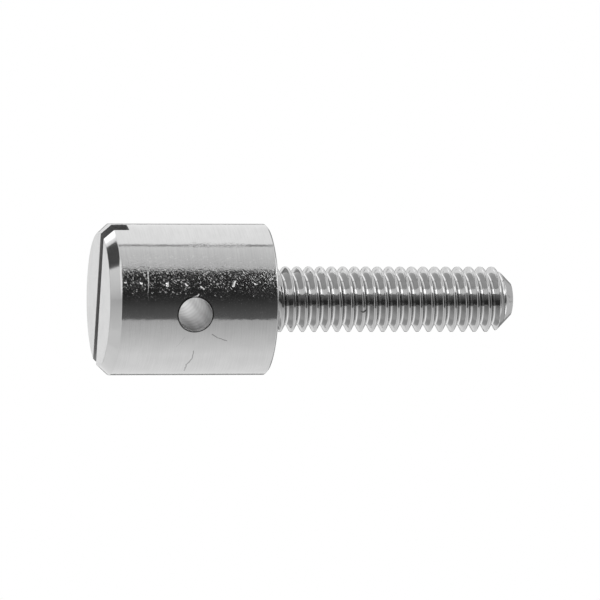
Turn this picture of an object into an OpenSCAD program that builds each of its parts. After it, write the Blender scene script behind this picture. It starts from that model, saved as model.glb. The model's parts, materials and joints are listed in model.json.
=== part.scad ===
// Seal screw: a turned and plated screw with a tall round head. The head has a driver slot in its end
// and a hole across its middle for a seal wire. It stands on its slotted end with the thread up.
// Lengths are in millimetres and angles in degrees. The origin is the middle of the bearing face under
// the head. The thread points along +Z and the wire hole runs along Y.

/* [Head] */
// Diameter of the head
head_d = 9.0; // [8:0.1:12]
// Length of the head, from the bearing face to the slotted end
head_len = 10.0; // [9:0.1:14]
// Width of the sloped edge at the slotted end, measured on the end face
end_bevel_in = 0.55; // [0.3:0.05:0.8]
// Length of the sloped edge at the slotted end, measured along the head
end_bevel_len = 0.6; // [0.3:0.05:0.9]
// Edge break round the bearing face
seat_break = 0.1; // [0.05:0.05:0.4]

/* [Driver slot] */
// Width of the driver slot
slot_w = 1.0; // [0.8:0.1:1.6]
// Depth of the driver slot
slot_depth = 1.5; // [1:0.1:2.4]
// Turn of the slot from the direction square to the wire hole
slot_turn = 7; // [-45:0.5:45]

/* [Wire hole] */
// Diameter of the wire hole
hole_d = 2.0; // [1.2:0.1:2.4]
// Distance of the wire hole from the slotted end
hole_from_end = 5.0; // [4.4:0.1:6]

/* [Thread] */
// Outside diameter of the thread as cut, a little under the nominal 4 mm
thread_d = 3.9; // [3.8:0.01:4.0]
// Pitch of the thread
thread_pitch = 0.7; // [0.5:0.05:0.8]
// Length under the head
thread_len = 15.0; // [8:0.5:20]
// Angle round the axis where the groove leaves the bearing face
thread_turn = 46; // [0:0.5:360]
// Length of the sloped tip
tip_len = 0.95; // [0.6:0.05:1.1]
// Part of a turn over which the groove fades out above the bearing face
thread_runout = 0.3; // [0.1:0.05:1]

/* [Hidden] */
$fn = 96;
head_r = head_d / 2;
thread_r = thread_d / 2;
// How far a cut or a joined end runs on past the face it meets
over = 0.5;

// Section of the thread: flanks at 30 degrees, a crest of a fifth and a root of a twelfth of the pitch
flank_angle = 30;
crest_w = thread_pitch / 5;
root_w = thread_pitch / 12;
flank_w = (thread_pitch - crest_w - root_w) / 2;
// The ridge is made a little tall, then turned down to the outside diameter
tall = 0.03;
tall_w = tall * tan(flank_angle);
ridge_r = thread_r + tall;
groove_depth = tall + flank_w / tan(flank_angle);

// The ridge starts inside the head and ends past the tip, then is cut to length
steps_per_turn = 30;
first_step = -steps_per_turn * ceil(over / thread_pitch + 1);
last_step = ceil((thread_len / thread_pitch + 1) * steps_per_turn);
rows = last_step - first_step + 1;
strips = rows - steps_per_turn - 1;

// Depth and offset along the axis of each corner of the section, over one pitch from the groove
section = [
    [groove_depth, -root_w / 2],
    [groove_depth, root_w / 2],
    [0, root_w / 2 + flank_w + tall_w],
    [0, root_w / 2 + flank_w + crest_w - tall_w]
];
corners = len(section);

// Share of its full depth that the groove has at a height: none until its mouth is clear of the head
function groove_share(z) =
    min(1, max(0, (z - thread_pitch / 2) / (thread_runout * thread_pitch)));

// A corner of the section carried along the helix
function helix_point(step, c) =
    let (
        a = thread_turn + 360 * step / steps_per_turn,
        z = thread_pitch * step / steps_per_turn,
        r = ridge_r - section[c][0] * groove_share(z)
    )
    [r * cos(a), r * sin(a), z + section[c][1]];

// Number of a corner. The one after the last is the first corner one turn on.
function corner(row, c) = c < corners ? row * corners + c : (row + steps_per_turn) * corners;

low_middle = rows * corners;
high_middle = low_middle + 1;

ridge_points = concat(
    [for (s = [first_step:last_step]) for (c = [0:corners - 1]) helix_point(s, c)],
    [
        [0, 0, thread_pitch * (first_step / steps_per_turn + 0.5)],
        [0, 0, thread_pitch * (last_step / steps_per_turn - 0.5)]
    ]
);

ridge_sides = [
    for (r = [0:strips - 1]) for (c = [0:corners - 1])
        let (
            a = corner(r, c),
            b = corner(r + 1, c),
            d = corner(r + 1, c + 1),
            e = corner(r, c + 1)
        )
        each [[a, e, d], [a, d, b]]
];

low_end = concat(
    [for (r = [0:steps_per_turn - 1]) [low_middle, corner(r, 0), corner(r + 1, 0)]],
    [for (c = [0:corners - 1]) [low_middle, corner(0, c + 1), corner(0, c)]]
);

high_end = concat(
    [for (r = [strips:strips + steps_per_turn - 1]) [high_middle, corner(r + 1, 0), corner(r, 0)]],
    [for (c = [0:corners - 1]) [high_middle, corner(strips, c), corner(strips, c + 1)]]
);

// Turned outline of the head, with its sloped end edge and the edge break under it
module head_blank() {
    rotate_extrude()
        polygon([
            [0, -head_len],
            [head_r - end_bevel_in, -head_len],
            [head_r, -head_len + end_bevel_len],
            [head_r, -seat_break],
            [head_r - seat_break, 0],
            [0, 0]
        ]);
}

// Straight sawn slot right across the end of the head
module driver_slot() {
    rotate([0, 0, slot_turn])
        translate([-head_d, -slot_w / 2, -head_len - over])
            cube([2 * head_d, slot_w, slot_depth + over]);
}

// Drilled right through the head, square to its axis
module wire_hole() {
    translate([0, 0, hole_from_end - head_len])
        rotate([90, 0, 0])
            cylinder(h = 2 * head_d, d = hole_d, center = true);
}

// Turned outline of the shank, with its sloped tip
module shank_blank() {
    rotate_extrude()
        polygon([
            [0, -over],
            [thread_r, -over],
            [thread_r, thread_len - tip_len],
            [thread_r - tip_len, thread_len],
            [0, thread_len]
        ]);
}

// Core and right-hand ridge of the thread in one form
module thread_ridge() {
    polyhedron(points = ridge_points, faces = concat(ridge_sides, low_end, high_end));
}

module seal_screw() {
    color([0.75, 0.75, 0.76])
        union() {
            difference() {
                head_blank();
                driver_slot();
                wire_hole();
            }
            intersection() {
                thread_ridge();
                shank_blank();
            }
        }
}

seal_screw();
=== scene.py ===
import json
import math

import bmesh
import bpy
import numpy as np
from bpy.props import FloatProperty, FloatVectorProperty, IntProperty, PointerProperty
from mathutils import Matrix, Vector


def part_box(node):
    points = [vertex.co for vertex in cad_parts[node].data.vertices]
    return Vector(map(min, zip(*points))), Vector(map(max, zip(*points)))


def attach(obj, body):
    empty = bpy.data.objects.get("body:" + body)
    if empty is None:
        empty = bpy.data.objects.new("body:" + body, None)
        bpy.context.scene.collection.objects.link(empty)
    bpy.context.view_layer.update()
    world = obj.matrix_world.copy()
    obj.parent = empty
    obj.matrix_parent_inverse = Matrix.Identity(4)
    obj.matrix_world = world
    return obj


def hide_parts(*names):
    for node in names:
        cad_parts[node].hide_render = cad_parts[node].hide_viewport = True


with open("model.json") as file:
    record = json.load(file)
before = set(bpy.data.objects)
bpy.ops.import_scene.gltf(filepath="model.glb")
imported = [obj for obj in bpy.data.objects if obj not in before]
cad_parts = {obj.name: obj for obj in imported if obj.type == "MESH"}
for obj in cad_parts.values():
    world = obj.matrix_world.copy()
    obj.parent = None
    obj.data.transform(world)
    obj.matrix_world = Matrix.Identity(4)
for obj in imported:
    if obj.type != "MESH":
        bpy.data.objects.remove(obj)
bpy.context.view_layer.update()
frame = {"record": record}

bl_info = {
    "name": "Seal screw",
    "version": (1, 0, 0),
    "blender": (4, 5, 0),
    "location": "View3D > Sidebar > Seal screw",
    "description": "Builds a plated seal screw with a drilled head and its studio",
    "category": "Add Mesh",
}

MM = 0.001
NODE = "seal_screw"

# The overall size, the thread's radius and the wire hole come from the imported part
LOWEST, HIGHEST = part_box(NODE)
MOUNTS = {mount["name"]: mount for mount in frame["record"]["mounts"]}
THREAD_RADIUS = MOUNTS["thread"]["dims"]["r_mm"] * MM
HOLE_RADIUS = MOUNTS["wire_hole"]["dims"]["r_mm"] * MM
HOLE_HEIGHT = MOUNTS["wire_hole"]["pos_m"][2]

# Points closer together than WELD are joined, and a point closer than NEAR to a face lies on it
WELD = 0.001 * MM
NEAR = 0.002 * MM

# The thread's section: the crest is a fifth of the pitch and the root a ninth
CREST_PART = 5
ROOT_PART = 9
CREST_ROUNDING = 0.06 * MM
ROOT_ROUNDING = 0.015 * MM
GROOVE_DEPTH = 0.42 * MM
POINTS_PER_PITCH = 24
THREAD_SIZES = (
    "Crest radius", "Pitch", "Length", "Start angle", "Tip length", "Runout",
    "Crest width", "Root width", "Crest rounding", "Root rounding",
)
THREAD_COUNTS = ("Steps per turn", "Turns", "Points per pitch")

# Distance of the studio's cards, and the degrees that one face of a card or a fan takes
CARD_RADIUS = 250 * MM
CARD_STEP = 2
FAN_STEP = 6

# The key lamp, with its turn from the camera's side in degrees
LAMP_WIDTH = 30 * MM
LAMP_HEIGHT = 80 * MM
LAMP_DISTANCE = 240 * MM
LAMP_TURN = -29.0
LAMP_RISE = math.radians(45)

# Wear and lathe lines of the plating, with turns measured from the hole
WORN_STRETCHES = 3.0
WORN_TURN = math.radians(29.0)
SCUFF_TURN = math.radians(57.0)
LINES_PER_MM = 18.0

# Marks on the side of the head, in millimetres:
# way round from the hole and height of both ends, width and depth
HAIRLINES = (
    ((4.55, -5.14), (3.67, -5.14), 0.06, 0.006),
    ((3.67, -5.14), (3.08, -4.93), 0.07, 0.006),
    ((3.08, -4.93), (2.38, -4.90), 0.05, 0.006),
    ((1.20, -3.92), (1.47, -3.55), 0.06, 0.006),
    ((1.47, -3.55), (1.64, -2.99), 0.05, 0.006),
    ((1.38, -5.55), (2.08, -5.98), 0.03, 0.002),
)
# Knocks: small dents, whose colour is also brightened into painted glints
KNOCKS_AND_GLINTS = (
    ((-2.64, -7.80), (-1.04, -7.86), 0.03, 0.0035),
    ((-1.95, -9.22), (-1.93, -9.20), 0.085, 0.018),
    ((-1.88, -8.26), (-1.86, -8.24), 0.085, 0.018),
    ((-1.92, -6.70), (-1.74, -6.68), 0.095, 0.022),
    ((-1.86, -5.58), (-1.78, -5.52), 0.085, 0.020),
    ((-1.68, -4.66), (-1.56, -4.50), 0.06, 0.014),
    ((-2.00, -2.64), (-1.70, -2.76), 0.085, 0.020),
    ((-1.86, -1.42), (-1.82, -1.38), 0.07, 0.016),
    ((-1.02, -5.17), (-1.20, -4.82), 0.04, 0.018),
)
# A dark spot on a crest of the thread, in colour only, measured in the same way
DARK_SPOTS = (
    ((0.92, 5.64), (0.60, 5.80), 0.15, 0.02),
)


def length_property(name, description, default):
    """A length in metres, shown in the scene's units."""
    return FloatProperty(
        name=name,
        description=description,
        default=default,
        min=0.0,
        precision=6,
        subtype="DISTANCE",
        unit="LENGTH",
    )


def angle_property(name, description, degrees):
    """An angle, given here in degrees."""
    return FloatProperty(
        name=name, description=description, default=math.radians(degrees), subtype="ANGLE", unit="ROTATION"
    )


def share_property(name, description, default):
    """A share from none to all."""
    return FloatProperty(
        name=name, description=description, default=default, min=0.0, max=1.0, subtype="FACTOR"
    )


class SealScrewShape(bpy.types.PropertyGroup):
    """Sizes of the screw."""

    head_radius: length_property("Head radius", "Radius of the head", HIGHEST.y)
    head_length: length_property("Head length", "From the bearing face to the slotted end", -LOWEST.z)
    bevel_in: length_property("Bevel on the end", "Width of the sloped edge, on the end face", 0.55 * MM)
    bevel_length: length_property("Bevel on the side", "Length of the sloped edge, on the side", 0.6 * MM)
    seat_break: length_property("Seat edge break", "Edge break round the bearing face", 0.1 * MM)
    edge_radius: length_property("Edge radius", "Rounding of a turned and plated edge", 0.05 * MM)
    slot_width: length_property("Slot width", "Width of the driver slot", 1.0 * MM)
    slot_depth: length_property("Slot depth", "Depth of the driver slot", 1.5 * MM)
    slot_turn: angle_property("Slot turn", "Turn of the slot from square to the wire hole", 7.0)
    slot_edge: length_property("Slot edge", "Rounding along the mouth of the slot", 0.02 * MM)
    hole_radius: length_property("Hole radius", "Radius of the wire hole", HOLE_RADIUS)
    hole_height: FloatProperty(
        name="Hole height", description="Height of the wire hole's axis", default=HOLE_HEIGHT, unit="LENGTH"
    )
    hole_edge: length_property("Hole edge", "Rounding at the mouth of the wire hole", 0.015 * MM)
    thread_radius: length_property("Thread radius", "Radius over the crests of the thread", THREAD_RADIUS)
    thread_length: length_property("Thread length", "Length under the head", HIGHEST.z)
    thread_pitch: length_property("Thread pitch", "Distance between two crests", 0.7 * MM)
    thread_turn: angle_property("Thread turn", "Angle where the groove leaves the bearing face", 46.0)
    tip_length: length_property("Tip length", "Length of the sloped tip", 0.95 * MM)
    runout: share_property("Thread runout", "Part of a turn over which the groove fades out", 0.3)
    segments: IntProperty(name="Segments", description="Faces round the screw", default=128, min=32)


class SealScrewFinish(bpy.types.PropertyGroup):
    """Plating and wear of the screw."""

    plate_color: FloatVectorProperty(
        name="Plate colour",
        description="Colour of the bright plating",
        default=(0.72, 0.72, 0.72),
        subtype="COLOR",
    )
    roughness: share_property("Roughness", "Roughness of the plating", 0.1)
    turning: share_property("Turning marks", "Strength of the fine lines left by the lathe", 0.3)
    pits: share_property("Tumbling pits", "Strength of the small dents from loose handling", 0.6)
    drill_feed: length_property("Drill feed", "Distance between the rings that the drill left", 0.7 * MM)


class SealScrewStudio(bpy.types.PropertyGroup):
    """Floor, light and camera."""

    floor_color: FloatVectorProperty(
        name="Floor colour",
        description="Colour of the floor",
        default=(0.88, 0.88, 0.88),
        subtype="COLOR",
    )
    floor_fade: length_property("Floor fade", "Distance at which the floor starts to go white", 35.0 * MM)
    world_light: FloatProperty(
        name="World light", description="Light from all round on the floor", default=0.6
    )
    lamp_power: FloatProperty(
        name="Lamp power", description="Power of the key lamp", default=3.0, unit="POWER"
    )
    view_turn: angle_property("View turn", "Turn of the camera from square to the wire hole", 11.8)
    view_rise: angle_property("View rise", "Rise of the camera, negative on the slotted side", -12.0)
    view_distance: length_property("View distance", "Distance of the camera", 400.0 * MM)
    lens: FloatProperty(name="Lens", description="Focal length", default=403.3, unit="CAMERA")


class NodeMaker:
    """Adds nodes to a tree and returns their sockets. An input is a socket or a plain value."""

    def __init__(self, tree):
        self.tree = tree

    def node(self, kind, **settings):
        made = self.tree.nodes.new(kind)
        for name, value in settings.items():
            setattr(made, name, value)
        return made

    def feed(self, socket, value):
        if isinstance(value, bpy.types.NodeSocket):
            self.tree.links.new(value, socket)
        else:
            socket.default_value = value

    def math(self, operation, *values, clamp=False):
        made = self.node("ShaderNodeMath", operation=operation, use_clamp=clamp)
        for socket, value in zip(made.inputs, values):
            self.feed(socket, value)
        return made.outputs[0]

    def vector(self, operation, *values):
        made = self.node("ShaderNodeVectorMath", operation=operation)
        for socket, value in zip(made.inputs, values):
            self.feed(socket, value)
        return made.outputs["Value"] if operation in ("DOT_PRODUCT", "LENGTH") else made.outputs["Vector"]

    def product(self, first, *others):
        """All the factors multiplied together."""
        for other in others:
            first = self.math("MULTIPLY", first, other)
        return first

    def sum(self, start, *terms):
        """A start value and some terms, each a socket and its strength."""
        for socket, strength in terms:
            start = self.math("MULTIPLY_ADD", socket, strength, start)
        return start

    def scaled(self, vector, factor):
        made = self.node("ShaderNodeVectorMath", operation="SCALE")
        self.feed(made.inputs["Vector"], vector)
        self.feed(made.inputs["Scale"], factor)
        return made.outputs["Vector"]

    def combine(self, x, y, z):
        made = self.node("ShaderNodeCombineXYZ")
        for socket, value in zip(made.inputs, (x, y, z)):
            self.feed(socket, value)
        return made.outputs["Vector"]

    def separate(self, vector):
        made = self.node("ShaderNodeSeparateXYZ")
        self.feed(made.inputs["Vector"], vector)
        return made.outputs["X"], made.outputs["Y"], made.outputs["Z"]

    def ramp(self, value, low, high, to_low=0.0, to_high=1.0, smooth=True):
        """Moves a value from one range to another, held at the ends."""
        made = self.node("ShaderNodeMapRange", interpolation_type="SMOOTHSTEP" if smooth else "LINEAR")
        self.feed(made.inputs["Value"], value)
        self.feed(made.inputs["From Min"], low)
        self.feed(made.inputs["From Max"], high)
        self.feed(made.inputs["To Min"], to_low)
        self.feed(made.inputs["To Max"], to_high)
        return made.outputs["Result"]


def mesh_object(name, mesh):
    """A new object in the scene, at the origin."""
    made = bpy.data.objects.new(name, mesh)
    bpy.context.scene.collection.objects.link(made)
    return made


def bmesh_object(name, bm):
    """A new object from a bmesh, which is freed."""
    mesh = bpy.data.meshes.new(name)
    bm.to_mesh(mesh)
    bm.free()
    return mesh_object(name, mesh)


def baked_mesh(source):
    """The object's mesh with its modifiers in it. The object itself is removed."""
    bpy.context.view_layer.update()
    depsgraph = bpy.context.evaluated_depsgraph_get()
    mesh = bpy.data.meshes.new_from_object(source.evaluated_get(depsgraph))
    bpy.data.objects.remove(source)
    return mesh


def rounded_outline(corners, steps):
    """Points of an outline whose corners, each a point and a radius, are rounded."""
    points = []
    for number, (corner, radius) in enumerate(corners):
        corner = Vector(corner)
        if radius == 0.0:
            points.append(corner)
            continue
        before = (Vector(corners[number - 1][0]) - corner).normalized()
        after = (Vector(corners[number + 1][0]) - corner).normalized()
        half = before.angle(after) / 2
        middle = corner + (before + after).normalized() * (radius / math.sin(half))
        reach = radius / math.tan(half)
        first = (corner + before * reach - middle).normalized()
        last = (corner + after * reach - middle).normalized()
        points.extend(middle + first.slerp(last, step / steps) * radius for step in range(steps + 1))
    return points


def closed_loops(loops):
    """A closed form from rings of points, with a flat face on the first and the last ring."""
    bm = bmesh.new()
    rings = [[bm.verts.new(point) for point in loop] for loop in loops]
    for low, high in zip(rings, rings[1:]):
        for k in range(len(low)):
            following = (k + 1) % len(low)
            bm.faces.new((low[k], low[following], high[following], high[k]))
    bm.faces.new(reversed(rings[0]))
    bm.faces.new(rings[-1])
    return bm


def head_blank(shape):
    """Turned head with rounded edges, from the slotted end up to the foot of the thread."""
    outline = rounded_outline(
        [
            ((shape.head_radius - 2 * shape.bevel_in, -shape.head_length), 0.0),
            ((shape.head_radius - shape.bevel_in, -shape.head_length), shape.edge_radius),
            ((shape.head_radius, shape.bevel_length - shape.head_length), shape.edge_radius),
            ((shape.head_radius, -shape.seat_break), shape.edge_radius),
            ((shape.head_radius - shape.seat_break, 0.0), shape.edge_radius),
            ((shape.thread_radius, 0.0), 0.0),
        ],
        steps=4,
    )
    angles = [shape.thread_turn + math.tau * k / shape.segments for k in range(shape.segments)]
    loops = [[(r * math.cos(a), r * math.sin(a), z) for a in angles] for r, z in outline]
    return bmesh_object("head", closed_loops(loops))


def slot_cutter(shape, rounding=6):
    """What the saw takes out of the slotted end, with a rounded mouth."""
    half = shape.slot_width / 2
    reach = shape.head_radius + MM
    wide = half + shape.slot_edge
    start = -shape.head_length - MM
    end_face = -shape.head_length
    floor = end_face + shape.slot_depth
    mouth = [
        (
            wide - shape.slot_edge * math.sin(turn),
            end_face + shape.slot_edge * (1 - math.cos(turn)),
        )
        for turn in (math.pi / 2 * k / rounding for k in range(rounding + 1))
    ]
    side = [(wide, start)] + mouth + [(half, floor)]
    outline = side + [(-y, z) for y, z in reversed(side)]
    turn = Matrix.Rotation(shape.slot_turn, 4, "Z")
    loops = [[turn @ Vector((x, y, z)) for y, z in outline] for x in (-reach, reach)]
    return bmesh_object("slot_cutter", closed_loops(loops))


def hole_cutter(shape, sides=72, rounding=5):
    """What the drill takes out of the head: a bore with a rounded mouth at both ends."""
    reach = shape.head_radius + MM
    wide = shape.hole_radius + shape.hole_edge
    skin = 0.003 * MM
    angles = [math.tau * k / sides for k in range(sides)]
    mouth = [math.sqrt(shape.head_radius ** 2 - (wide * math.cos(a)) ** 2) for a in angles]

    def loop(radius, depths):
        return [
            (radius * math.cos(a), y, shape.hole_height + radius * math.sin(a))
            for a, y in zip(angles, depths)
        ]

    front = [loop(wide, [-reach] * sides)]
    for step in range(rounding + 1):
        turn = math.pi / 2 * step / rounding
        radius = wide - shape.hole_edge * math.sin(turn)
        depth = skin + shape.hole_edge * (1 - math.cos(turn))
        front.append(loop(radius, [depth - y for y in mouth]))
    back = [[(x, -y, z) for x, y, z in points] for points in reversed(front)]
    return bmesh_object("hole_cutter", closed_loops(front + back))


def cut_head(shape):
    """The head with its driver slot and its wire hole."""
    head = head_blank(shape)
    cutters = [slot_cutter(shape), hole_cutter(shape)]
    for cutter in cutters:
        bmesh_normals_out(cutter.data)
        cut = head.modifiers.new(cutter.name, "BOOLEAN")
        cut.operation = "DIFFERENCE"
        cut.solver = "EXACT"
        cut.object = cutter
    mesh = baked_mesh(head)
    for cutter in cutters:
        bpy.data.objects.remove(cutter)
    return mesh


def bmesh_normals_out(mesh):
    """Turns every face of a closed mesh outwards."""
    bm = bmesh.new()
    bm.from_mesh(mesh)
    bmesh.ops.recalc_face_normals(bm, faces=bm.faces)
    bm.to_mesh(mesh)
    bm.free()


def thread_tree(material):
    """Geometry Nodes for a thread: a strip one pitch wide, wound up the screw and joined to itself."""
    tree = bpy.data.node_groups.new("Screw thread", "GeometryNodeTree")
    tree.is_modifier = True
    sockets = {}
    for names, kind in ((THREAD_SIZES, "NodeSocketFloat"), (THREAD_COUNTS, "NodeSocketInt")):
        for name in names:
            socket = tree.interface.new_socket(name, in_out="INPUT", socket_type=kind)
            sockets[name] = socket.identifier
    tree.interface.new_socket("Geometry", in_out="OUTPUT", socket_type="NodeSocketGeometry")

    make = NodeMaker(tree)
    given = make.node("NodeGroupInput").outputs
    crest, pitch, length = given["Crest radius"], given["Pitch"], given["Length"]

    # A flat strip whose x counts steps along the helix and whose y runs over one pitch
    steps = make.math("MULTIPLY", given["Steps per turn"], given["Turns"])
    strip = make.node("GeometryNodeMeshGrid")
    make.feed(strip.inputs["Size X"], steps)
    make.feed(strip.inputs["Size Y"], 1.0)
    make.feed(strip.inputs["Vertices X"], make.math("ADD", steps, 1.0))
    make.feed(strip.inputs["Vertices Y"], make.math("ADD", given["Points per pitch"], 1.0))
    x, y, _ = make.separate(make.node("GeometryNodeInputPosition").outputs[0])
    step = make.math("ADD", x, make.math("DIVIDE", steps, 2.0))
    turns = make.math("SUBTRACT", make.math("DIVIDE", step, given["Steps per turn"]), 1.0)
    across = make.math("ADD", y, 0.5)
    angle = make.math("ADD", given["Start angle"], make.math("MULTIPLY", turns, math.tau))
    height = make.math("MULTIPLY", pitch, make.math("ADD", turns, across))
    z = make.math("MINIMUM", make.math("MAXIMUM", height, 0.0), length)

    # Root, 30 degree flank and crest of the section, by the distance from the nearest groove
    slope = math.sqrt(3.0)
    widths = make.math("ADD", given["Crest width"], given["Root width"])
    depth = make.math("MULTIPLY", make.math("SUBTRACT", pitch, widths), slope / 2)
    root = make.math("SUBTRACT", crest, depth)
    away = make.math("MULTIPLY", pitch, make.math("MINIMUM", across, make.math("SUBTRACT", 1.0, across)))
    past_root = make.math("SUBTRACT", away, make.math("DIVIDE", given["Root width"], 2.0))
    flank = make.math("MULTIPLY_ADD", past_root, slope, root)
    rooted = make.math("SMOOTH_MAX", flank, root, given["Root rounding"])
    section = make.math("SMOOTH_MIN", rooted, crest, given["Crest rounding"])

    # The groove fades out where it comes to the head, and the tip is turned to a cone
    groove = make.math("MULTIPLY", pitch, make.math("ADD", turns, make.math("GREATER_THAN", across, 0.5)))
    risen = make.math("SUBTRACT", groove, make.math("DIVIDE", pitch, 2.0))
    share = make.math("DIVIDE", risen, make.math("MULTIPLY", given["Runout"], pitch), clamp=True)
    cut = make.math("SUBTRACT", crest, section)
    faded = make.math("SUBTRACT", crest, make.math("MULTIPLY", share, cut))
    shoulder = make.math("SUBTRACT", length, given["Tip length"])
    cone = make.math("SUBTRACT", make.math("ADD", crest, shoulder), z)
    radius = make.math("SMOOTH_MIN", faded, cone, given["Crest rounding"])

    place = make.combine(
        make.math("MULTIPLY", radius, make.math("COSINE", angle)),
        make.math("MULTIPLY", radius, make.math("SINE", angle)),
        z,
    )
    wind = make.node("GeometryNodeSetPosition")
    make.feed(wind.inputs["Geometry"], strip.outputs["Mesh"])
    make.feed(wind.inputs["Position"], place)
    join = make.node("GeometryNodeMergeByDistance")
    make.feed(join.inputs["Geometry"], wind.outputs["Geometry"])
    make.feed(join.inputs["Distance"], WELD)
    real = make.node("GeometryNodeRealizeInstances")
    make.feed(real.inputs["Geometry"], join.outputs["Geometry"])
    paint = make.node("GeometryNodeSetMaterial")
    make.feed(paint.inputs["Geometry"], real.outputs["Geometry"])
    make.feed(paint.inputs["Material"], material)
    make.feed(make.node("NodeGroupOutput").inputs[0], paint.outputs["Geometry"])
    return tree, sockets


def wound_thread(shape, material):
    """The thread as a plain mesh, open at the head and at the tip."""
    tree, sockets = thread_tree(material)
    thread = mesh_object("thread", bpy.data.meshes.new("thread"))
    winding = thread.modifiers.new("Thread", "NODES")
    winding.node_group = tree
    sizes = {
        "Crest radius": shape.thread_radius,
        "Pitch": shape.thread_pitch,
        "Length": shape.thread_length,
        "Start angle": shape.thread_turn,
        "Tip length": shape.tip_length,
        "Runout": shape.runout,
        "Crest width": shape.thread_pitch / CREST_PART,
        "Root width": shape.thread_pitch / ROOT_PART,
        "Crest rounding": CREST_ROUNDING,
        "Root rounding": ROOT_ROUNDING,
        "Steps per turn": shape.segments,
        "Turns": math.ceil(shape.thread_length / shape.thread_pitch) + 2,
        "Points per pitch": POINTS_PER_PITCH,
    }
    for name, value in sizes.items():
        winding[sockets[name]] = value
    return baked_mesh(thread)


def joined_screw(shape, material):
    """Head and thread welded into one closed mesh."""
    bm = bmesh.new()
    bm.from_mesh(cut_head(shape))

    def under_thread(vertex):
        return abs(vertex.co.z) < NEAR and vertex.co.xy.length < shape.thread_radius + NEAR

    foot = [face for face in bm.faces if all(under_thread(vertex) for vertex in face.verts)]
    bmesh.ops.delete(bm, geom=foot, context="FACES_ONLY")
    bm.from_mesh(wound_thread(shape, material))
    bmesh.ops.remove_doubles(bm, verts=bm.verts, dist=WELD)
    tip_height = shape.thread_length - NEAR
    tip = [edge for edge in bm.edges if edge.is_boundary and edge.verts[0].co.z > tip_height]
    bmesh.ops.holes_fill(bm, edges=tip, sides=0)
    open_edges = [edge for edge in bm.edges if not edge.is_manifold]
    if open_edges:
        raise RuntimeError(f"the screw isn't closed: {len(open_edges)} open edges")
    for face in bm.faces:
        face.smooth = True
        face.material_index = 0
    mesh = bpy.data.meshes.new(NODE)
    bm.to_mesh(mesh)
    bm.free()
    mesh.materials.clear()
    mesh.materials.append(material)
    return mesh


def true_normals(mesh, shape):
    """Shades the turned and flat faces by their true form, whatever faces the cuts left on them."""
    # Limits for telling faces apart: an angle, two cosines, a difference, an area and a cosine
    sharp = math.radians(40)
    straight_out = 0.999
    level = 0.9999
    alike = 0.002
    large = (0.2 * MM) ** 2
    same_side = 0.7
    mesh.set_sharp_from_angle(angle=sharp)
    bevel = Vector((shape.bevel_length, 0.0, -shape.bevel_in)).normalized()
    edge = 0.01 * MM
    vertices = np.empty(len(mesh.vertices) * 3)
    mesh.vertices.foreach_get("co", vertices)
    vertices = vertices.reshape(-1, 3)
    normals = [(0.0, 0.0, 0.0)] * len(mesh.loops)
    found = {}

    def turned(vertex, radial, axial):
        x, y, _ = vertices[vertex]
        r = math.hypot(x, y)
        return (radial * x / r, radial * y / r, axial)

    rest = []
    for face in mesh.polygons:
        middle, facing = face.center, face.normal
        if middle.z > edge:
            continue
        r = middle.xy.length
        outward = (facing.x * middle.x + facing.y * middle.y) / max(r, edge)
        on_side = abs(r - shape.head_radius) < edge and outward > straight_out
        on_bevel = abs(outward - bevel.x) < alike and abs(facing.z - bevel.z) < alike
        flat = face.area > large and len(face.vertices) > 4 or abs(facing.z) > level
        for corner in face.loop_indices:
            vertex = mesh.loops[corner].vertex_index
            if on_side:
                normals[corner] = turned(vertex, 1.0, 0.0)
            elif on_bevel:
                normals[corner] = turned(vertex, bevel.x, bevel.z)
            elif flat:
                normals[corner] = tuple(facing)
            else:
                rest.append((corner, vertex, tuple(facing)))
                continue
            found.setdefault(vertex, []).append(normals[corner])
    # A rounded edge takes the normal of the face that it runs into
    for corner, vertex, facing in rest:
        beside = [n for n in found.get(vertex, []) if np.dot(n, facing) > same_side]
        if beside:
            normals[corner] = beside[0]
    mesh.normals_split_custom_set(normals)


def hairline_group():
    """Node group: how deep a point lies in a hairline between two ends, from none to all."""
    group = bpy.data.node_groups.new("Hairline", "ShaderNodeTree")
    for name in ("Point", "Start", "End"):
        group.interface.new_socket(name, in_out="INPUT", socket_type="NodeSocketVector")
    group.interface.new_socket("Width", in_out="INPUT", socket_type="NodeSocketFloat")
    group.interface.new_socket("Depth", in_out="OUTPUT", socket_type="NodeSocketFloat")
    make = NodeMaker(group)
    given = make.node("NodeGroupInput").outputs
    run = make.vector("SUBTRACT", given["End"], given["Start"])
    arm = make.vector("SUBTRACT", given["Point"], given["Start"])
    along = make.math(
        "DIVIDE", make.vector("DOT_PRODUCT", arm, run), make.vector("DOT_PRODUCT", run, run), clamp=True)
    away = make.vector("LENGTH", make.vector("SUBTRACT", arm, make.scaled(run, along)))
    make.feed(make.node("NodeGroupOutput").inputs[0], make.ramp(away, 0.0, given["Width"], 1.0, 0.0))
    return group


def noise(make, point, scale, detail=2.0):
    """Soft noise at a point, from none to all."""
    made = make.node("ShaderNodeTexNoise")
    make.feed(made.inputs["Vector"], point)
    made.inputs["Scale"].default_value = scale
    made.inputs["Detail"].default_value = detail
    return made.outputs["Fac"]


def pits(make, point, scale, share, size):
    """Round dents of mixed depth, one to a cell, in a share of the cells."""
    cells = make.node("ShaderNodeTexVoronoi", voronoi_dimensions="3D")
    make.feed(cells.inputs["Vector"], point)
    cells.inputs["Scale"].default_value = scale
    chance, depth, _ = make.separate(cells.outputs["Color"])
    here = make.math("LESS_THAN", chance, share)
    depth = make.ramp(depth, 0.0, 1.0, 0.3, 1.0, smooth=False)
    dent = make.ramp(cells.outputs["Distance"], 0.0, size, 1.0, 0.0)
    return make.math("MULTIPLY", make.math("MULTIPLY", here, depth), dent)


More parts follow.
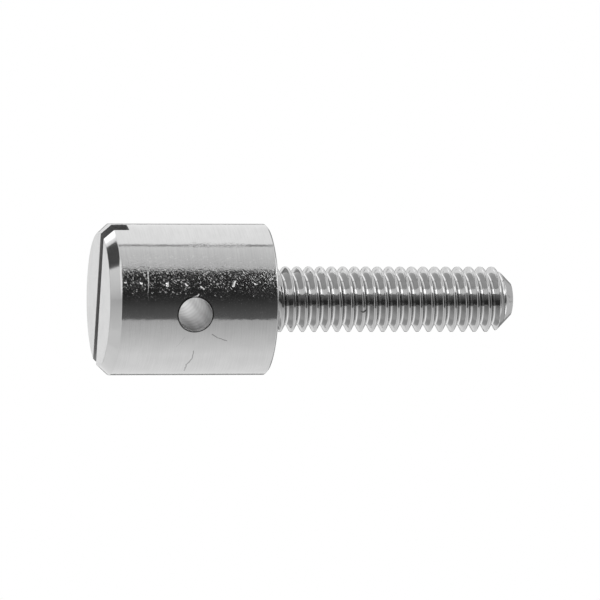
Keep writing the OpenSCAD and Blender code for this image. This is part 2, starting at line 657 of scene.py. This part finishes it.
class PlatePlaces:
    """Where a point of the plating is, in millimetres, and which parts it is on, from none to all."""

    def __init__(self, make, shape):
        self.make = make
        self.head_radius = shape.head_radius / MM
        self.hole_radius = shape.hole_radius / MM
        self.end_height = -shape.head_length / MM
        self.corner_height = self.end_height + shape.bevel_length / MM
        self.point = make.scaled(make.node("ShaderNodeTexCoord").outputs["Object"], 1 / MM)
        self.x, self.y, self.z = make.separate(self.point)
        self.radius = make.vector("LENGTH", make.combine(self.x, self.y, 0.0))
        # The way round the head starts at the hole
        self.turn = make.math("ARCTAN2", self.x, make.math("MULTIPLY", self.y, -1.0))
        self.unrolled = make.combine(make.math("MULTIPLY", self.turn, self.head_radius), self.z, 0.0)
        self.find_head()
        self.find_thread(shape)
        self.find_hole(shape)
        self.find_slot(shape)

    def outside(self, start, full):
        """Mask of what lies near the side of the head, from two depths under it."""
        return self.make.ramp(self.radius, self.head_radius - start, self.head_radius - full)

    def find_head(self):
        """Masks of the head's side and end."""
        make = self.make
        self.under_seat = make.ramp(self.z, 0.0, 0.02, 1.0, 0.0)
        self.on_side = make.product(self.outside(0.04, 0.01), self.under_seat)
        self.on_end = make.ramp(self.z, self.end_height + 0.03, self.end_height + 0.01)

    def find_thread(self, shape):
        """Masks of the thread, its root and the flanks that face the tip."""
        make = self.make
        self.on_thread = make.math("SUBTRACT", 1.0, self.under_seat)
        # The root, for a painted highlight along it
        root_radius = (shape.thread_radius - GROOVE_DEPTH) / MM
        low = make.ramp(self.radius, root_radius + 0.03, root_radius + 0.01)
        self.in_root = make.product(low, self.on_thread)
        # The flanks that face the tip, found by their facing, for a painted shade on them
        _, _, facing = make.separate(make.node("ShaderNodeNewGeometry").outputs["Normal"])
        shoulder = (shape.thread_length - shape.tip_length) / MM
        before_tip = make.ramp(self.z, shoulder, shoulder - 0.1)
        self.tip_flank = make.product(make.ramp(facing, 0.78, 0.85), self.on_thread, before_tip)

    def find_hole(self, shape):
        """Distance from the hole's axis, way round it, and the mask of its wall."""
        make = self.make
        drop = make.math("SUBTRACT", self.z, shape.hole_height / MM)
        self.from_hole = make.vector("LENGTH", make.combine(self.x, drop, 0.0))
        self.hole_turn = make.math("ARCTAN2", drop, self.x)
        at_hole = make.ramp(self.from_hole, 1.03 * self.hole_radius, 1.015 * self.hole_radius)
        self.in_hole = make.product(at_hole, make.math("SUBTRACT", 1.0, self.on_side))

    def find_slot(self, shape):
        """Mask of the slot's walls and floor."""
        make = self.make
        half = shape.slot_width / 2 / MM
        floor = self.end_height + shape.slot_depth / MM
        across = (-math.sin(shape.slot_turn), math.cos(shape.slot_turn), 0.0)
        away = make.math("ABSOLUTE", make.vector("DOT_PRODUCT", self.point, across))
        between = make.ramp(away, half + 0.012, half + 0.004)
        self.in_slot = make.product(between, make.ramp(self.z, floor + 0.02, floor + 0.01))


def worn_places(at):
    """Wear in stretches round the side, and the worn edges in their middle, which the colour also brightens
    as a painted highlight.
    """
    make = at.make
    patch = make.math("COSINE", make.math("MULTIPLY", make.math("ADD", at.turn, WORN_TURN), WORN_STRETCHES))
    stretch = make.ramp(patch, 0.35, 0.72, 0.05, 1.0)
    worn = make.product(stretch, at.on_side, make.ramp(at.z, -4.0, -2.0, 1.0, 0.65))
    # The bevel's corner and the seat's brim, worn and also brightened as a painted highlight
    off_corner = make.math("ABSOLUTE", make.math("SUBTRACT", at.z, at.corner_height))
    corner = make.product(make.ramp(off_corner, 0.09, 0.04), at.outside(0.08, 0.04))
    brim = make.product(make.ramp(at.z, -0.13, -0.09), at.under_seat, at.outside(0.14, 0.1))
    edges = make.product(make.math("MAXIMUM", corner, brim), make.ramp(patch, 0.6, 0.95))
    return worn, edges


def lathe_lines(at):
    """Fine lines from the lathe, which run round the head and in rings on its end."""
    make = at.make
    side_place = make.vector("MULTIPLY", at.point, (0.5, 0.5, LINES_PER_MM))
    side_lines = noise(make, side_place, 1.0, 4.0)
    ring_count = make.math("MULTIPLY", at.radius, LINES_PER_MM)
    ring_place = make.combine(ring_count, make.math("MULTIPLY", at.turn, 0.8), 0.0)
    end_lines = noise(make, ring_place, 1.0, 4.0)
    return make.sum(0.0, (side_lines, at.on_side), (end_lines, at.on_end))


def worn_dents(at, worn):
    """Depth of the dents, which lie thickest along the worn stretches of the side."""
    make = at.make
    slant = make.node("ShaderNodeMapping", vector_type="TEXTURE")
    slant.inputs["Rotation"].default_value = (0.0, 0.0, math.radians(35.0))
    slant.inputs["Scale"].default_value = (1.0, 0.22, 1.0)
    make.feed(slant.inputs["Vector"], at.unrolled)
    small = pits(make, at.point, 11.0, 0.9, 0.5)
    large = pits(make, at.point, 5.0, 0.25, 0.35)
    slanted = pits(make, slant.outputs["Vector"], 4.4, 0.4, 0.4)
    grain = noise(make, at.point, 9.0)
    dents = make.sum(0.0, (small, 0.007), (large, 0.015), (slanted, 0.012), (grain, 0.014))
    return make.product(dents, worn)


def scuffed_strip(at):
    """A light scuff along the side, from the height of the hole nearly to the seat."""
    make = at.make
    off_strip = make.math("ABSOLUTE", make.math("ADD", at.turn, SCUFF_TURN))
    strip = make.product(make.ramp(off_strip, 0.12, 0.05), at.on_side)
    ends = make.product(make.ramp(at.z, -5.6, -4.8), make.ramp(at.z, -1.2, -2.0))
    return make.product(strip, ends, noise(make, at.point, 7.0))


def swayed_place(at):
    """The place on the unrolled side, pushed about a little so that no mark is quite straight."""
    make = at.make
    wander = make.node("ShaderNodeTexNoise")
    make.feed(wander.inputs["Vector"], at.point)
    wander.inputs["Scale"].default_value = 3.0
    sway = make.scaled(make.vector("SUBTRACT", wander.outputs["Color"], (0.5, 0.5, 0.5)), 0.15)
    return make.vector("MULTIPLY", make.vector("ADD", at.unrolled, sway), (1.0, 1.0, 0.0))


def marks(make, group, place, listed, part):
    """Depth of the deepest of some marks on a part of the screw."""
    deepest = 0.0
    for first, last, width, mark_depth in listed:
        line = make.node("ShaderNodeGroup", node_tree=group)
        make.feed(line.inputs["Point"], place)
        line.inputs["Start"].default_value = (*first, 0.0)
        line.inputs["End"].default_value = (*last, 0.0)
        line.inputs["Width"].default_value = width
        here = make.math("MULTIPLY", line.outputs["Depth"], mark_depth)
        deepest = make.math("MAXIMUM", deepest, here)
    return make.product(deepest, part)


def bore_marks(at, finish):
    """The drill's rings; painted shade on one side of the hole and a painted highlight on another; a ring
    of painted shade round its mouth and a painted highlight just inside it.
    """
    make = at.make
    feeds = make.math("MULTIPLY_ADD", at.y, math.tau * MM / finish.drill_feed, at.hole_turn)
    ring_wave = make.math("SINE", make.math("MULTIPLY_ADD", noise(make, at.point, 1.2), 3.0, feeds))
    rings = make.product(ring_wave, at.in_hole)
    # Painted shade on one side of the bore
    painted_shade_side = make.product(make.ramp(at.hole_turn, math.radians(35.0), 0.0), at.in_hole)
    # A painted highlight on another side of the bore, near its front mouth
    highlight_turns = make.ramp(at.hole_turn, math.radians(20.0), math.radians(45.0))
    painted_highlight_side = make.product(highlight_turns, at.in_hole, make.ramp(at.y, -0.6, -2.2))
    # A thin ring of painted shade just outside the hole's mouth
    painted_shade_ring = make.product(
        make.ramp(at.from_hole, 1.1 * at.hole_radius, 1.07 * at.hole_radius),
        make.ramp(at.from_hole, 1.01 * at.hole_radius, 1.02 * at.hole_radius),
        at.on_side,
    )
    # A painted highlight on the wall just inside the hole's mouth
    mouth = make.product(at.in_hole, at.outside(0.36, 0.3))
    return rings, painted_shade_side, painted_highlight_side, painted_shade_ring, mouth


def plate_material(finish, shape):
    """Bright nickel plate with lathe lines, and with dents and hairlines from handling."""
    material = bpy.data.materials.new("Bright nickel plate")
    material.use_nodes = True
    make = NodeMaker(material.node_tree)
    shader = material.node_tree.nodes["Principled BSDF"]
    shader.inputs["Metallic"].default_value = 1.0
    at = PlatePlaces(make, shape)
    worn, edges = worn_places(at)
    lines = lathe_lines(at)
    dents = worn_dents(at, worn)
    group = hairline_group()
    place = swayed_place(at)
    hairlines = marks(make, group, place, HAIRLINES, at.on_side)
    knocks_and_glints = marks(make, group, place, KNOCKS_AND_GLINTS, at.on_side)
    dark_spots = marks(make, group, place, DARK_SPOTS, at.on_thread)
    rings, painted_shade_side, painted_highlight_side, painted_shade_ring, mouth = bore_marks(at, finish)

    # The plating's height in millimetres. The thread is a little rough and the side not quite even
    rough_thread = make.product(noise(make, at.point, 3.0, 3.0), at.on_thread)
    uneven = make.product(noise(make, at.point, 2.4, 1.0), at.on_side)
    height = make.sum(
        0.0,
        (lines, 0.0015 * finish.turning),
        (dents, -finish.pits),
        (hairlines, -1.0),
        (knocks_and_glints, -1.0),
        (rings, 0.001),
        (rough_thread, 0.009),
        (uneven, 0.004),
        (scuffed_strip(at), 0.008),
    )
    bump = make.node("ShaderNodeBump")
    bump.inputs["Strength"].default_value = 1.0
    bump.inputs["Distance"].default_value = MM
    make.feed(bump.inputs["Height"], height)
    make.feed(shader.inputs["Normal"], bump.outputs["Normal"])

    # Smears change the gloss a little. The hole, the slot, the end and what is worn are duller
    smear = noise(make, at.point, 0.9, 3.0)
    roughness = make.sum(
        make.ramp(smear, 0.3, 0.75, 0.75 * finish.roughness, 1.35 * finish.roughness),
        (at.in_hole, 0.2),
        (at.in_slot, 0.35),
        (at.on_end, 0.08),
        (worn, 0.02),
        (edges, 0.15),
    )
    make.feed(shader.inputs["Roughness"], roughness)

    # Hairlines and dark spots are darker; the painted shade and the painted highlights are named at each
    # term
    shade = make.sum(
        make.math("ADD", make.ramp(smear, 0.2, 0.8, 0.9, 0.96), make.ramp(lines, 0.3, 0.7, 0.0, 0.05)),
        (hairlines, -75.0),
        # A dark spot on the thread, in colour only
        (dark_spots, -40.0),
        # Knocks, brightened in colour as painted glints
        (knocks_and_glints, 20.0),
        (rings, 0.07),
        # Painted shade on one side of the hole
        (painted_shade_side, -0.3),
        # A painted highlight on another side of the hole
        (painted_highlight_side, 0.36),
        # A ring of painted shade round the hole
        (painted_shade_ring, -0.86),
        # A painted highlight inside the hole's mouth
        (mouth, 0.4),
        # Worn edges, brightened as a painted highlight
        (edges, 0.45),
        (at.on_thread, -0.07),
        # A painted highlight along the thread's root
        (at.in_root, 0.4),
        # Painted shade on the thread's flanks that face the tip
        (at.tip_flank, -0.3),
        # Painted shade in the slot
        (at.in_slot, -0.3),
    )
    tint = make.scaled(make.combine(*finish.plate_color), shade)
    make.feed(shader.inputs["Base Color"], tint)
    return material


class SEALSCREW_OT_make_screw(bpy.types.Operator):
    """Builds the screw: a turned head, cut and drilled, with a wound thread."""

    bl_idname = "seal_screw.make_screw"
    bl_label = "Make the screw"

    def execute(self, context):
        shape = context.scene.seal_screw_shape
        material = plate_material(context.scene.seal_screw_finish, shape)
        mesh = joined_screw(shape, material)
        true_normals(mesh, shape)
        screw = mesh_object("plated_screw", mesh)
        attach(screw, "root")
        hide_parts(NODE)
        return {"FINISHED"}


def around(view_turn, degrees):
    """Direction in the floor plane, as an angle from the camera's own side towards the screw's right."""
    angle = math.radians(degrees - 90.0) - view_turn
    return Vector((math.cos(angle), math.sin(angle), 0.0))


def glow_material(name, levels):
    """An even glow, or one graded along a card."""
    material = bpy.data.materials.new(name)
    material.use_nodes = True
    tree = material.node_tree
    tree.nodes.remove(tree.nodes["Principled BSDF"])
    make = NodeMaker(tree)
    glow = make.node("ShaderNodeEmission")
    start, end = levels
    if start == end:
        glow.inputs["Strength"].default_value = start
    else:
        share, _, _ = make.separate(make.node("ShaderNodeUVMap", uv_map="card").outputs["UV"])
        make.feed(glow.inputs["Strength"], make.ramp(share, 0.0, 1.0, start, end, smooth=False))
    make.feed(tree.nodes["Material Output"].inputs["Surface"], glow.outputs[0])
    material.cycles.emission_sampling = "NONE"
    return material


def reflected_only(made, levels):
    """Makes a stage object glow, and shows it only in reflections."""
    made.data.materials.append(glow_material(made.name, levels))
    made.visible_camera = False
    made.visible_diffuse = False
    made.visible_shadow = False


def card(name, view_turn, sweep, heights, levels, radius=CARD_RADIUS):
    """A curved card that stands round the screw, over a sweep of angles from the camera's side."""
    start, end = sweep
    count = max(2, round(abs(end - start) / CARD_STEP))
    bm = bmesh.new()
    layer = bm.loops.layers.uv.new("card")
    columns = []
    for step in range(count + 1):
        share = step / count
        foot = around(view_turn, start + (end - start) * share) * radius
        columns.append((share, [bm.verts.new((foot.x, foot.y, z)) for z in heights]))
    for (share_a, a), (share_b, b) in zip(columns, columns[1:]):
        face = bm.faces.new((a[0], b[0], b[1], a[1]))
        for corner, share in zip(face.loops, (share_a, share_b, share_b, share_a)):
            corner[layer].uv = (share, 0.5)
    reflected_only(bmesh_object(name, bm), levels)


def round_card(name, view_turn, sweep, height, levels, radius=CARD_RADIUS):
    """A flat card in the form of a fan that lies far below or above the screw."""
    start, end = sweep
    count = max(2, round(abs(end - start) / FAN_STEP))
    bm = bmesh.new()
    layer = bm.loops.layers.uv.new("card")
    middle = bm.verts.new((0.0, 0.0, height))
    rim = []
    for step in range(count + 1):
        share = step / count
        place = around(view_turn, start + (end - start) * share) * radius
        rim.append((share, bm.verts.new((place.x, place.y, height))))
    for (share_a, a), (share_b, b) in zip(rim, rim[1:]):
        face = bm.faces.new((middle, a, b))
        for corner, share in zip(face.loops, ((share_a + share_b) / 2, share_a, share_b)):
            corner[layer].uv = (share, 0.5)
    reflected_only(bmesh_object(name, bm), levels)


def floor_material(studio):
    """Pale floor that goes over into the white background, and is clear from below."""
    material = bpy.data.materials.new("Pale floor")
    material.use_nodes = True
    tree = material.node_tree
    make = NodeMaker(tree)
    shader = tree.nodes["Principled BSDF"]
    shader.inputs["Base Color"].default_value = (*studio.floor_color, 1.0)
    shader.inputs["Roughness"].default_value = 0.9
    shader.inputs["Specular IOR Level"].default_value = 0.0
    away = make.vector("LENGTH", make.node("ShaderNodeTexCoord").outputs["Object"])
    far = make.ramp(away, studio.floor_fade, 4 * studio.floor_fade)
    white = make.node("ShaderNodeEmission")
    fade = make.node("ShaderNodeMixShader")
    make.feed(fade.inputs["Fac"], make.math(
        "MULTIPLY", far, make.node("ShaderNodeLightPath").outputs["Is Camera Ray"]))
    make.feed(fade.inputs[1], shader.outputs[0])
    make.feed(fade.inputs[2], white.outputs[0])
    clear = make.node("ShaderNodeBsdfTransparent")
    sides = make.node("ShaderNodeMixShader")
    make.feed(sides.inputs["Fac"], make.node("ShaderNodeNewGeometry").outputs["Backfacing"])
    make.feed(sides.inputs[1], fade.outputs[0])
    make.feed(sides.inputs[2], clear.outputs[0])
    make.feed(tree.nodes["Material Output"].inputs["Surface"], sides.outputs[0])
    return material


def make_floor(shape, studio, sides=96):
    """A wide ring of floor, open under the screw's end face."""
    under_bevel = shape.head_radius - 0.7 * shape.bevel_in
    near_floor = 20 * MM
    far_floor = 3.0
    height = LOWEST.z - 0.01 * MM
    angles = [math.tau * k / sides for k in range(sides)]
    bm = bmesh.new()
    rings = [
        [bm.verts.new((r * math.cos(a), r * math.sin(a), height)) for a in angles]
        for r in (under_bevel, near_floor, far_floor)
    ]
    for low, high in zip(rings, rings[1:]):
        for k in range(sides):
            following = (k + 1) % sides
            bm.faces.new((low[k], high[k], high[following], low[following]))
    floor = bmesh_object("floor", bm)
    floor.data.materials.append(floor_material(studio))
    floor.visible_glossy = False


def make_world(studio):
    """White to the camera and in reflections, and a plain light on the floor."""
    world = bpy.data.worlds.new("White studio")
    world.use_nodes = True
    bpy.context.scene.world = world
    make = NodeMaker(world.node_tree)
    path = make.node("ShaderNodeLightPath").outputs
    seen = make.math("MAXIMUM", path["Is Camera Ray"], make.math(
        "MAXIMUM", path["Is Glossy Ray"], path["Is Transmission Ray"]))
    background = world.node_tree.nodes["Background"]
    background.inputs["Color"].default_value = (1.0, 1.0, 1.0, 1.0)
    light = make.ramp(seen, 0.0, 1.0, studio.world_light, 1.0, smooth=False)
    make.feed(background.inputs["Strength"], light)


def make_camera(studio):
    """The camera lies on its side, so that the standing screw lies across the picture."""
    turn, rise = studio.view_turn, studio.view_rise
    back = Vector((-math.sin(turn) * math.cos(rise), -math.cos(turn) * math.cos(rise), math.sin(rise)))
    up = Vector((-math.cos(turn), math.sin(turn), 0.0))
    right = up.cross(back)
    middle_height = 2.192 * MM
    drop = 0.046 * MM
    target = Vector((0.0, 0.0, middle_height)) - up * drop
    data = bpy.data.cameras.new("camera")
    data.lens = studio.lens
    data.sensor_width = 36.0
    data.clip_start = 10 * MM
    data.clip_end = 10.0
    camera = bpy.data.objects.new("camera", data)
    bpy.context.scene.collection.objects.link(camera)
    place = Matrix((right, up, back)).transposed().to_4x4()
    place.translation = target + back * studio.view_distance
    camera.matrix_world = place
    bpy.context.scene.camera = camera


def make_lamp(studio):
    """The key lamp, high at the front left."""
    data = bpy.data.lights.new("key_lamp", "AREA")
    data.shape = "RECTANGLE"
    data.size = LAMP_WIDTH
    data.size_y = LAMP_HEIGHT
    data.energy = studio.lamp_power
    lamp = bpy.data.objects.new("key_lamp", data)
    lamp.visible_glossy = False
    bpy.context.scene.collection.objects.link(lamp)
    level = around(studio.view_turn, LAMP_TURN) * math.cos(LAMP_RISE)
    direction = level + Vector((0.0, 0.0, math.sin(LAMP_RISE)))
    facing = direction.to_track_quat("Z", "Y").to_matrix().to_4x4()
    lamp.matrix_world = Matrix.Translation(direction * LAMP_DISTANCE) @ facing


class SEALSCREW_OT_make_stage(bpy.types.Operator):
    """Builds the floor, the cards that the plating reflects, the light and the camera."""

    bl_idname = "seal_screw.make_stage"
    bl_label = "Make the stage"

    def execute(self, context):
        shape = context.scene.seal_screw_shape
        studio = context.scene.seal_screw_studio
        turn = studio.view_turn
        # Heights of the cards' edges, and the distances of the cards that stand nearer
        top = 900 * MM
        lamp_head = 430 * MM
        lamp_foot = 130 * MM
        sky_line = 80 * MM
        back_line = -5 * MM
        glow_line = -95 * MM
        low_line = -90 * MM
        patch_line = -170 * MM
        under = -440 * MM
        near_heights = (9 * MM, 24 * MM)
        near_distance = 40 * MM
        hole_heights = (10 * MM, 75 * MM)
        hole_distance = 200 * MM
        # A card has a sweep from the camera's side in degrees, its heights, and its glow at both ends
        card("dark_card", turn, (-45, -4), (0.0, lamp_foot), (0.02, 0.024))
        card("dark_card_edge", turn, (-4, 30.6), (0.0, lamp_foot), (0.026, 0.12))
        card("dark_card_top", turn, (-27, 6), (lamp_foot, top), (0.5, 0.08))
        card("dark_card_top_edge", turn, (6, 29), (lamp_foot, top), (0.07, 0.06))
        card("dark_card_low", turn, (-14, 32), (patch_line, 0.0), (0.08, 0.08))
        card("lamp_card", turn, (-52, -27), (lamp_foot, lamp_head), (1.9, 1.9))
        card("near_card", turn, (-44, -24), near_heights, (1.5, 1.5), near_distance)
        card("near_shade", turn, (-23, 15), near_heights, (0.2, 0.025), near_distance)
        card("grey_card", turn, (-86.2, -46), (0.0, lamp_foot), (0.79, 0.56))
        card("grey_card_top", turn, (-90, -52), (lamp_foot, top), (1.1, 0.88))
        card("grey_card_low", turn, (-110, -14), (patch_line, 0.0), (0.9, 0.9))
        card("card_edge", turn, (-91.2, -86.7), (0.0, sky_line), (0.33, 0.33))
        card("sky_card", turn, (-125, -90), (sky_line, top), (0.95, 1.0))
        card("sky_card_back", turn, (-160, -125), (sky_line, top), (0.42, 0.44))
        card("graded_card", turn, (30.6, 90), (0.0, lamp_foot), (0.46, 0.815))
        card("graded_card_back", turn, (90, 158), (0.0, lamp_foot), (0.825, 0.88))
        card("graded_card_top", turn, (30, 95), (lamp_foot, top), (0.42, 1.08))
        card("graded_card_top_side", turn, (95, 122), (lamp_foot, top), (1.08, 1.1))
        card("graded_card_top_back", turn, (122, 158), (lamp_foot, top), (0.5, 0.46))
        card("graded_card_low", turn, (32, 110), (patch_line, 0.0), (0.7, 0.7))
        card("graded_card_foot", turn, (110, 158), (under, 0.0), (0.8, 0.86))
        card("back_card", turn, (158, 202), (back_line, top), (0.25, 0.25))
        card("back_card_low", turn, (158, 202), (low_line, back_line), (0.91, 0.91))
        card("back_card_dark", turn, (158, 202), (under, low_line), (0.2, 0.2))
        card("hole_card", turn, (172, 198), hole_heights, (0.85, 0.85), hole_distance)
        card("patch_card", turn, (-122, -84), (under, patch_line), (0.08, 0.08))
        card("bright_card", turn, (-144, -122), (patch_line, glow_line), (1.6, 1.6))
        card("front_foot", turn, (-84, 110), (under, patch_line), (0.75, 0.75))
        round_card("under_card_left", turn, (-120, 0), under, (0.95, 0.57))
        round_card("under_card_right", turn, (0, 120), under, (0.5, 0.8))
        round_card("under_card_back", turn, (120, 240), under, (0.55, 0.55))
        round_card("over_card", turn, (-180, 180), top, (0.44, 0.44))
        make_floor(shape, studio)
        make_world(studio)
        make_lamp(studio)
        make_camera(studio)
        view = context.scene.view_settings
        view.view_transform = "Standard"
        return {"FINISHED"}


class SEALSCREW_PT_panel(bpy.types.Panel):
    """The screw's steps in the sidebar."""

    bl_label = "Seal screw"
    bl_idname = "SEALSCREW_PT_panel"
    bl_space_type = "VIEW_3D"
    bl_region_type = "UI"
    bl_category = "Seal screw"

    def draw(self, context):
        for operator in (SEALSCREW_OT_make_screw, SEALSCREW_OT_make_stage):
            self.layout.operator(operator.bl_idname)
        for group in ("seal_screw_shape", "seal_screw_finish", "seal_screw_studio"):
            settings = getattr(context.scene, group)
            for name in settings.__annotations__:
                self.layout.prop(settings, name)


CLASSES = (
    SealScrewShape,
    SealScrewFinish,
    SealScrewStudio,
    SEALSCREW_OT_make_screw,
    SEALSCREW_OT_make_stage,
    SEALSCREW_PT_panel,
)


def register():
    for cls in CLASSES:
        bpy.utils.register_class(cls)
    bpy.types.Scene.seal_screw_shape = PointerProperty(type=SealScrewShape)
    bpy.types.Scene.seal_screw_finish = PointerProperty(type=SealScrewFinish)
    bpy.types.Scene.seal_screw_studio = PointerProperty(type=SealScrewStudio)


def unregister():
    del bpy.types.Scene.seal_screw_studio
    del bpy.types.Scene.seal_screw_finish
    del bpy.types.Scene.seal_screw_shape
    for cls in reversed(CLASSES):
        bpy.utils.unregister_class(cls)


def main():
    register()
    bpy.ops.seal_screw.make_screw()
    bpy.ops.seal_screw.make_stage()


if __name__ == "__main__":
    main()
